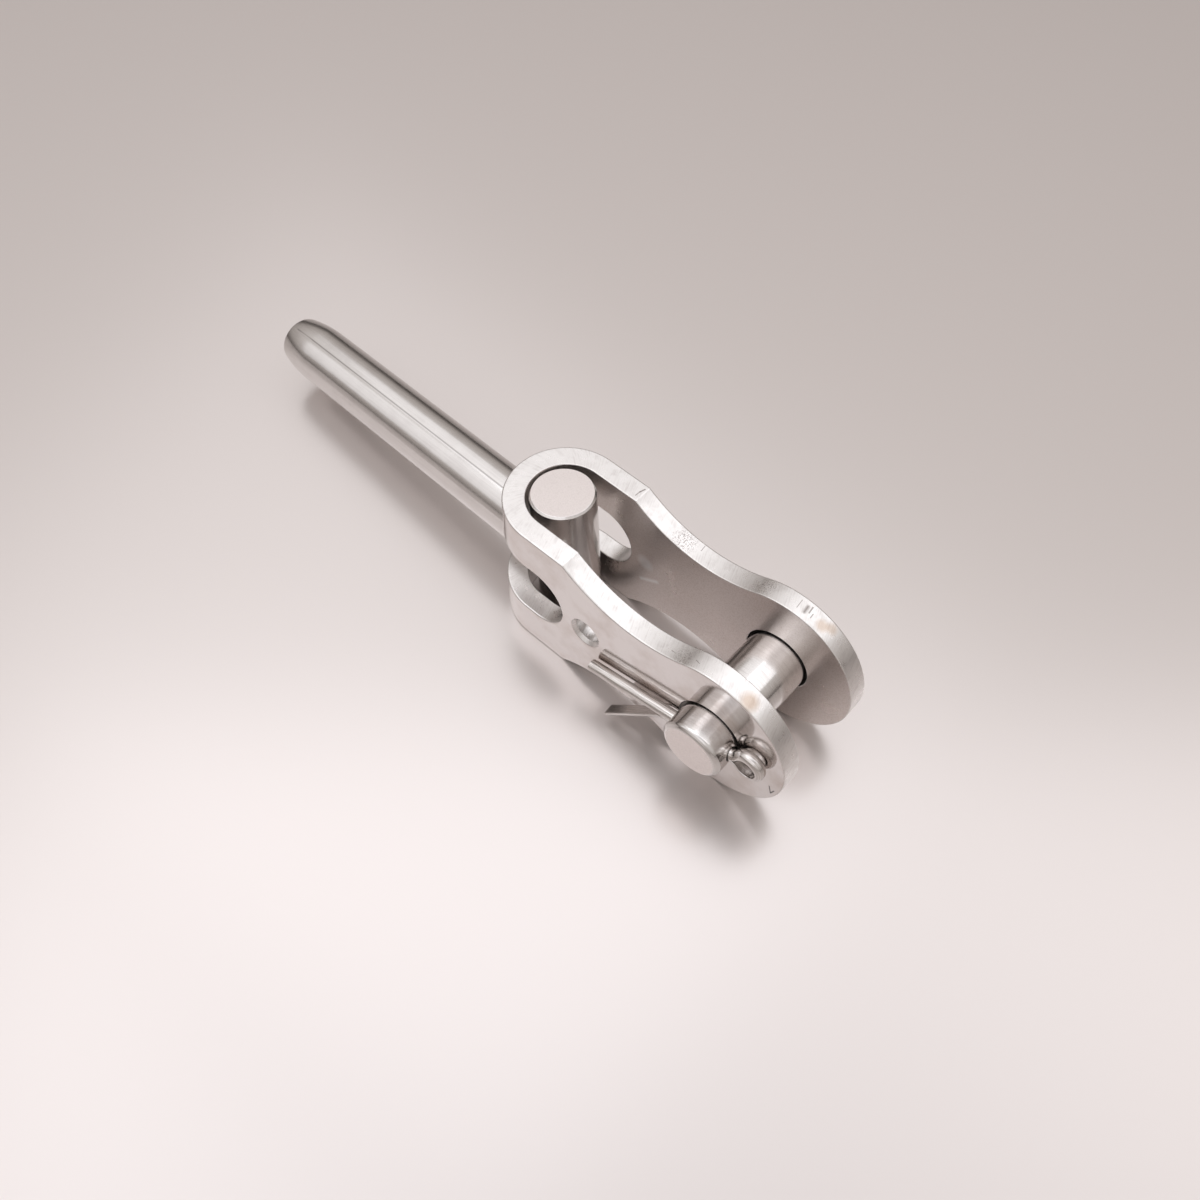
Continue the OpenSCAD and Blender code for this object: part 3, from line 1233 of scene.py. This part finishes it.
@dataclass
class Studio:
    """Pale floor, soft light and the camera."""

    floor_z: float = -20.5
    floor_half: float = 1500.0
    floor_tint: str = "#dad3d0"
    floor_gloss: float = 0.6
    floor_roughness: float = 0.28
    azimuth: float = -140.15
    elevation: float = 56.86
    roll: float = 2.37
    distance: float = 268.51
    focal_px: float = 1100.0
    image_px: float = 1200.0
    sensor: float = 36.0
    clip: tuple[float, float] = (0.01, 20.0)
    aim: Place = (48.375, 0.0, 0.0)
    aim_px: tuple[float, float] = (593.37, 568.13)
    sky_up: Place = (-0.06, 0.1, 1.0)
    sky_level: float = 0.88
    sky: tuple[tuple[float, str], ...] = (
        (0.0, "#4a4441"),
        (0.16, "#aea6a1"),
        (0.4, "#d1cac6"),
        (0.7, "#ebe6e3"),
        (0.82, "#f6f1ef"),
        (1.0, "#b8b3b1"),
    )
    backdrop: str = "#e4dfdc"
    light_tint: str = "#f6f9ff"
    panels: tuple[SoftPanel, ...] = (
        SoftPanel("panel_back", 0.0, -15.0, 420.0, 700.0, 900.0, 640.0, 0.42),
        SoftPanel("panel_over", 41.8, -4.6, -200.0, 700.0, 1500.0, 540.0, 0.76),
        SoftPanel("panel_near", 0.0, 40.0, 350.0, 700.0, 1500.0, 680.0, 0.4),
    )

    def floor(self) -> None:
        """Make the floor."""
        half = self.floor_half
        corners = [(-half, -half), (half, -half), (half, half), (-half, half)]
        plane = mesh_object("floor", np.array([(x, y, self.floor_z) for x, y in corners]), [(0, 1, 2, 3)])
        # Pale satin board: it mirrors the panels as a soft fall of light.
        material = bpy.data.materials.new("satin_board")
        material.use_nodes = True
        shader = material.node_tree.nodes["Principled BSDF"]
        shader.inputs["Base Color"].default_value = linear(self.floor_tint)
        shader.inputs["Metallic"].default_value = self.floor_gloss
        shader.inputs["Roughness"].default_value = self.floor_roughness
        plane.data.materials.append(material)

    def lamp(self, panel: SoftPanel) -> None:
        """Hang a soft panel so that it faces the object.

        Args:
            panel: The panel's place, size and brightness.
        """
        data = bpy.data.lights.new(panel.name, "AREA")
        data.shape = "RECTANGLE"
        data.size, data.size_y = panel.width * MM, panel.height * MM
        data.energy = panel.radiance * math.pi * data.size * data.size_y
        data.color = linear(self.light_tint)[:3]
        square = spun(panel.turn, "Z") @ spun(-panel.lean, "X")
        hung = Matrix.Translation(self.aim) @ square @ Matrix.Translation((panel.shift, 0, panel.away))
        linked(panel.name, data).matrix_world = Matrix.Scale(MM, 4) @ hung @ Matrix.Scale(1 / MM, 4)

    def room(self) -> None:
        """Make the light of the room: dim walls, brighter above, and a pale backdrop to look at."""
        world = bpy.data.worlds.new("studio_room")
        bpy.context.scene.world = world
        world.use_nodes = True
        tree = world.node_tree
        tree.nodes.clear()
        way = add_node(tree, "ShaderNodeTexCoord").outputs["Generated"]
        rise = add_node(tree, VECTOR, {0: way, 1: self.sky_up}, operation="DOT_PRODUCT").outputs["Value"]
        ramp = add_node(tree, "ShaderNodeValToRGB", {"Fac": rise})
        stops = ramp.color_ramp.elements
        stops.remove(stops[1])
        for spot, tint in self.sky:
            stop = stops[0] if spot == 0.0 else stops.new(spot)
            stop.color = linear(tint)
        light = {"Color": ramp.outputs["Color"], "Strength": self.sky_level}
        glow = add_node(tree, "ShaderNodeBackground", light).outputs["Background"]
        wall = {"Color": linear(self.backdrop)}
        plain = add_node(tree, "ShaderNodeBackground", wall).outputs["Background"]
        seen = add_node(tree, "ShaderNodeLightPath").outputs["Is Camera Ray"]
        mixed = add_node(tree, "ShaderNodeMixShader", {0: seen, 1: glow, 2: plain})
        add_node(tree, "ShaderNodeOutputWorld", {"Surface": mixed.outputs["Shader"]})

    def camera(self) -> None:
        """Stand the camera where the photograph was taken from."""
        az, el, roll = (math.radians(a) for a in (self.azimuth, self.elevation, self.roll))
        back = Vector((math.sin(az) * math.cos(el), -math.cos(az) * math.cos(el), math.sin(el)))
        right = Vector((0, 0, 1)).cross(back).normalized()
        up = back.cross(right)
        right, up = right * math.cos(roll) + up * math.sin(roll), up * math.cos(roll) - right * math.sin(roll)
        middle = self.image_px / 2
        off_x = (self.aim_px[0] - middle) / self.focal_px * self.distance
        off_y = (middle - self.aim_px[1]) / self.focal_px * self.distance
        place = Vector(self.aim) + back * self.distance - right * off_x - up * off_y
        data = bpy.data.cameras.new("camera")
        data.sensor_width = self.sensor
        data.lens = self.focal_px / self.image_px * self.sensor
        data.clip_start, data.clip_end = self.clip
        eye = linked("camera", data)
        turn = Matrix((right, up, back)).transposed().to_4x4()
        eye.matrix_world = Matrix.Translation(place * MM) @ turn
        bpy.context.scene.camera = eye

    def build(self) -> None:
        """Set up the floor, the light and the camera."""
        self.floor()
        self.room()
        for panel in self.panels:
            self.lamp(panel)
        self.camera()
        bpy.context.scene.view_settings.view_transform = "Standard"


# Patterns of the finishes. The real stone grain is about half this size, too fine for this distance.
WAVES = Grain(14.0, 2.0)
HAIRLINES = Grain(0.35, 3.0, draw=(0.06, 1.0, 1.0), tilt=(0.0, 0.25, 0.0), mapping="POINT")
SMUDGES = Grain(9.0, 5.0, 0.6)
STONE_GRAIN = Grain(0.3, 4.0)
FINE_GRAIN = Grain(0.25, 4.0)
PATCHES = Grain(9.0, 3.0)
EDGE_LINES = Grain(1.0, 3.0, 0.5, (0.32, 5.0, 1.0), (0.0, 0.0, 0.4), "TEXTURE", Walk.EDGE)
EDGE_PATCHES = Grain(2.6, 5.0, 0.65)
SHANK_TILT = (0.0, math.radians(SwageTerminal.droop), math.radians(SwageTerminal.swing))
SHANK_STREAKS = Grain(0.5, 3.0, draw=(40.0, 1.0, 1.0), tilt=SHANK_TILT, mapping="TEXTURE")
PIN_STREAKS = Grain(0.5, 3.0, draw=(8.0, 1.0, 8.0), mapping="TEXTURE")
BAR_PATCHES = Grain(5.0, 4.0, 0.6)
WIRE_LINES = Grain(1.0, 3.0, draw=(6.0, 0.25, 1.0), mapping="TEXTURE", walk=Walk.WIRE)
# Rolled stainless sheet, buffed on both outer faces: a soft mirror with faint smudges.
BUFFED_SHEET = SteelFinish(
    "stainless_sheet_buffed",
    "#dad5d3",
    "#c4b9b3",
    0.09,
    0.035,
    (SMUDGES,),
    (SMUDGES,),
    (0.42, 0.75),
    (Relief((WAVES,), 0.05, 1.2), Relief((HAIRLINES,), 0.06, 0.03)),
    (
        Stroke((-17.5, 15.2, -3.6), (-18.3, 15.2, -6.1), 0.26, "#1f1b19"),
        Stroke((-18.3, 15.2, -6.1), (-18.9, 15.2, -4.2), 0.26, "#1f1b19"),
    ),
)
# The same sheet inside the jaw, only tumbled: grainy and darker to the eye, with a tint painted paler than
# the outer sheet's as painted light for the shaded jaw, and two painted glints.
TUMBLED_SHEET = SteelFinish(
    "stainless_sheet_tumbled",
    # Painted light: this tint is paler than the outer sheet's, to lift the shaded inner faces.
    "#eae3e0",
    "#d6cdc7",
    0.31,
    0.06,
    (PATCHES,),
    (STONE_GRAIN,),
    (0.42, 0.78),
    (Relief((STONE_GRAIN,), 0.12, 0.04),),
    (
        # Painted glints: a white spot and a white stroke stand for light that falls on the far inner face.
        Spot((40.2, -9.8, 0.0), 3.0, 1.0, "#ffffff"),
        Stroke((40.9, -9.8, -7.4), (36.0, -9.8, -4.3), 0.9, "#ffffff"),
    ),
)
# The cut and tumbled edge: near white, lined across, with pits, grooves, scratches and brown heat tints.
CUT_SHEET = SteelFinish(
    "stainless_edge_cut",
    "#e8e5e3",
    "#cfcac7",
    0.31,
    0.09,
    (EDGE_PATCHES,),
    (EDGE_LINES, EDGE_PATCHES),
    (1.0, 1.45),
    (Relief((EDGE_LINES, EDGE_PATCHES), 0.25, 0.06),),
    (
        Spot((31.3, -12.2, 14.9), 4.0, 0.75, "#8d8480", 0.3),
        Spot((8.6, -12.9, 18.6), 3.8, 0.55, "#938b87", 0.3),
        Stroke((45.7, -11.1, 20.5), (45.6, -12.7, 20.5), 0.18, "#857c77"),
        Stroke((45.6, -12.5, 20.5), (45.2, -13.9, 20.5), 0.26, "#776e69"),
        Stroke((26.8, -12.9, 14.4), (27.0, -14.6, 14.4), 0.14, "#857c77"),
        Stroke((-0.1, -13.9, 20.5), (-0.3, -11.5, 20.5), 0.14, "#968d88"),
        Stroke((-2.0, -13.4, 20.4), (-2.2, -11.7, 20.4), 0.6, "#958d89"),
        Stroke((-2.9, -14.0, 20.3), (-3.1, -12.3, 20.3), 0.24, "#7d756f"),
        Stroke((-3.9, -12.7, 20.1), (-4.0, -11.6, 20.1), 0.2, "#8f8783"),
        Stroke((-3.4, -14.5, 20.2), (-3.6, -11.4, 20.2), 0.22, "#ffffff"),
        Stroke((14.1, 13.1, 16.2), (12.6, 13.3, 16.9), 0.14, "#8b827d"),
        Stroke((12.4, 12.8, 17.0), (11.2, 13.2, 17.5), 0.12, "#8b827d"),
        Stroke((11.3, 13.7, 17.5), (10.9, 12.9, 17.7), 0.12, "#8b827d"),
        Stroke((10.6, 13.3, 17.8), (9.3, 13.0, 18.4), 0.14, "#8b827d"),
        Stroke((7.9, 12.8, 18.9), (6.8, 13.2, 19.3), 0.14, "#8b827d"),
        Spot((10.8, 13.2, 17.7), 3.4, 0.5, "#8b827d", 0.3),
        Spot((-6.9, -12.1, 19.3), 2.0, 0.4, "#b58d5f"),
        Spot((-8.8, -13.4, 18.5), 1.9, 0.35, "#b58d5f"),
        Spot((-6.7, 13.3, 19.4), 2.8, 0.45, "#b58d5f"),
    ),
)
# Bar stock of the terminal, polished along the shank: soft bands of light and one fine grey line along the
# shank, a painted reflection.
POLISHED_SHANK = SteelFinish(
    "stainless_bar_polished",
    "#e2dfdd",
    "#d6d2d0",
    0.18,
    0.03,
    (SHANK_STREAKS,),
    (SHANK_STREAKS, BAR_PATCHES),
    (0.9, 1.45),
    (Relief((SHANK_STREAKS,), 0.04, 0.02),),
    (
        # Painted reflection: this grey line along the top of the shank stands for a thin dark line that the
        # shank mirrors.
        Stroke((77.65, 0.97, 7.18), (157.25, -3.9, 0.9), 0.3, "#a39f9d"),
        Stroke((157.25, -3.9, 0.9), (165.15, -4.57, -0.38), 0.3, "#a39f9d"),
    ),
)
# Ground pin: polished round its axis, so the streaks run round it.
GROUND_PIN = SteelFinish(
    "stainless_pin_ground",
    "#e2dfdd",
    "#cfcac7",
    0.16,
    0.04,
    (PIN_STREAKS,),
    (PIN_STREAKS, BAR_PATCHES),
    (0.9, 1.45),
    (Relief((PIN_STREAKS,), 0.04, 0.02),),
)
# Sawn and faced ends of bar and pin: an even satin.
FACED_END = SteelFinish(
    "stainless_end_faced",
    "#eae2df",
    "#dad2ce",
    0.4,
    0.05,
    (PATCHES,),
    (FINE_GRAIN,),
    (0.42, 0.78),
    (Relief((FINE_GRAIN,), 0.12, 0.04),),
)
# Drawn half-round wire of the cotter: bright, with lines along it.
COTTER_WIRE = SteelFinish(
    "stainless_wire_drawn",
    "#e4e0dd",
    "#b3aba7",
    0.22,
    0.06,
    (WIRE_LINES,),
    (WIRE_LINES,),
    (0.4, 0.75),
    (Relief((WIRE_LINES,), 0.2, 0.03),),
)


def place_piece(piece: Piece, body: str, node: str) -> None:
    """Let a finished piece ride on its body in place of its solid.

    Args:
        piece: The finished piece.
        body: The body that carries it.
        node: The solid that it stands for.
    """
    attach(piece, body)
    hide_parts(node)
    LOG.info("%s: %d faces on %s", piece.name, len(piece.data.polygons), body)


def main() -> None:
    """Build every piece in order, then the studio."""
    logging.basicConfig(level=logging.INFO)
    zones = {StrapZone.OUTER: BUFFED_SHEET, StrapZone.INNER: TUMBLED_SHEET, StrapZone.CUT: CUT_SHEET}
    strap = ToggleStrap(finishes=zones)
    terminal = SwageTerminal(finishes=(POLISHED_SHANK, FACED_END))
    pin = ClevisPin(finishes=(GROUND_PIN, FACED_END))
    cotter = CotterPin(finish=COTTER_WIRE)
    place_piece(strap.build(), "strap", "toggle_strap")
    place_piece(terminal.build(), "terminal", "swage_terminal")
    place_piece(pin.build(), "pin", "clevis_pin")
    place_piece(cotter.build(), "pin", "cotter_pin")
    Studio().build()


if __name__ == "__main__":
    main()
